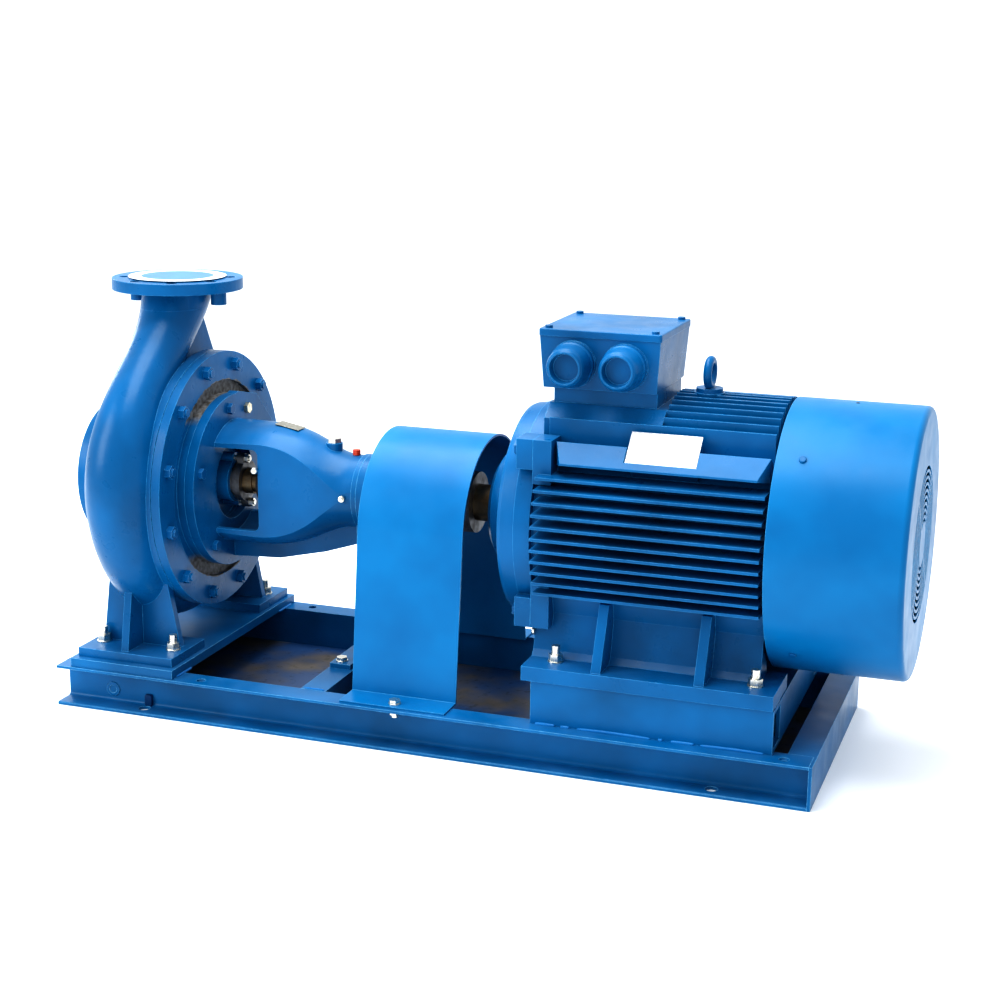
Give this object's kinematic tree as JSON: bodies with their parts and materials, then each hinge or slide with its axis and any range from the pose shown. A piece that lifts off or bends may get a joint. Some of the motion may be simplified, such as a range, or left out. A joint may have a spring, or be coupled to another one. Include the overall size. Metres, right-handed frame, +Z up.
{
  "type": "centrifugal pump set",
  "caption": "End-suction centrifugal pump with volute, bearing bracket, guarded coupling and finned electric motor on a welded channel base.",
  "frame": {"origin": "on the floor, at the middle of the foundation bolt rectangle", "axes": "+X along the shaft from the pump's suction to the motor's fan, -Y towards the cable glands, +Z up"},
  "size_m": [1.276, 0.4509, 0.642],
  "materials": {
    "blue_enamel": "glossy machine enamel",
    "dark_blue_enamel": "glossy enamel, blanking disc",
    "tray_paint": "worn sheet with overspray",
    "zinc": "yellowish zinc plate",
    "painted_bolt": "enamel over the bolt",
    "shaft_steel": "turned steel, oiled",
    "bearing_steel": "ground",
    "grey_iron": "machined cast iron",
    "bronze": "cast bronze",
    "lamination": "stacked sheet",
    "copper": "varnished winding",
    "rubber_black": "moulded",
    "spider_red": "cast elastomer",
    "gasket_sheet": "fibre sheet",
    "packing": "braided, graphited",
    "fan_plastic": "moulded",
    "board_resin": "moulded resin",
    "orange_cap": "moulded",
    "name_metal": "bare plate",
    "name_small": "bare plate"
  },
  "bodies": {
    "root": {"side_rails": "blue_enamel", "end_rails": "blue_enamel", "drip_tray": "tray_paint", "drain_plug": "dark_blue_enamel", "cross_member": "blue_enamel", "pump_plate": "blue_enamel", "motor_risers": "blue_enamel", "riser_tie": "blue_enamel", "motor_shims": "zinc", "volute_casing": "blue_enamel", "wear_ring": "bronze", "casing_gasket": "gasket_sheet", "casing_cover": "blue_enamel", "cover_studs": "painted_bolt", "packing_rings": "packing", "gland_follower": "grey_iron", "gland_studs": "zinc", "bearing_bracket": "blue_enamel", "bearing_fittings": "zinc", "breather_cap": "orange_cap", "support_foot": "blue_enamel", "frame_bolts": "zinc", "bearing_end_cover": "blue_enamel", "end_cover_screws": "painted_bolt", "oil_seals": "rubber_black", "bearing_outer_rings": "bearing_steel", "coupling_guard": "blue_enamel", "motor_housing": "blue_enamel", "motor_nameplate": "name_metal", "pump_nameplate": "name_small", "drive_end_shield": "blue_enamel", "flange_bolts": "painted_bolt", "fan_end_shield": "blue_enamel", "stator_core": "lamination", "windings": "copper", "fan_cowl": "blue_enamel", "motor_screws": "painted_bolt", "terminal_box": "blue_enamel", "terminal_lid": "blue_enamel", "cable_glands": "blue_enamel", "terminal_board": "board_resin", "lifting_eye": "painted_bolt", "foot_bolts": "zinc"},
    "motor_rotor": {"motor_shaft": "shaft_steel", "rotor_core": "lamination", "fan": "fan_plastic", "motor_coupling_half": "grey_iron", "coupling_spider": "spider_red", "motor_key": "shaft_steel", "motor_inner_rings": "bearing_steel"},
    "pump_rotor": {"pump_shaft": "shaft_steel", "shaft_sleeve": "shaft_steel", "impeller": "grey_iron", "impeller_nut": "bronze", "pump_coupling_half": "grey_iron", "pump_key": "shaft_steel", "pump_inner_rings": "bearing_steel", "deflector": "rubber_black"},
    "motor_balls": {"motor_bearing_balls": "bearing_steel"},
    "pump_balls": {"pump_bearing_balls": "bearing_steel"}
  },
  "joints": [
    {"name": "motor_spin", "type": "hinge", "parent": "root", "child": "motor_rotor", "pos_m": [0, 0, 0.327], "axis": [1, 0, 0], "continuous": true},
    {"name": "pump_spin", "type": "hinge", "parent": "root", "child": "pump_rotor", "pos_m": [0, 0, 0.327], "axis": [1, 0, 0], "continuous": true},
    {"name": "motor_balls_roll", "type": "hinge", "parent": "root", "child": "motor_balls", "pos_m": [0, 0, 0.327], "axis": [1, 0, 0], "continuous": true},
    {"name": "pump_balls_roll", "type": "hinge", "parent": "root", "child": "pump_balls", "pos_m": [0, 0, 0.327], "axis": [1, 0, 0], "continuous": true}
  ],
  "couplings": [
    {"joint": "pump_spin", "follows": "motor_spin", "ratio": 1},
    {"joint": "motor_balls_roll", "follows": "motor_spin", "ratio": 0.3895},
    {"joint": "pump_balls_roll", "follows": "motor_spin", "ratio": 0.3826}
  ]
}
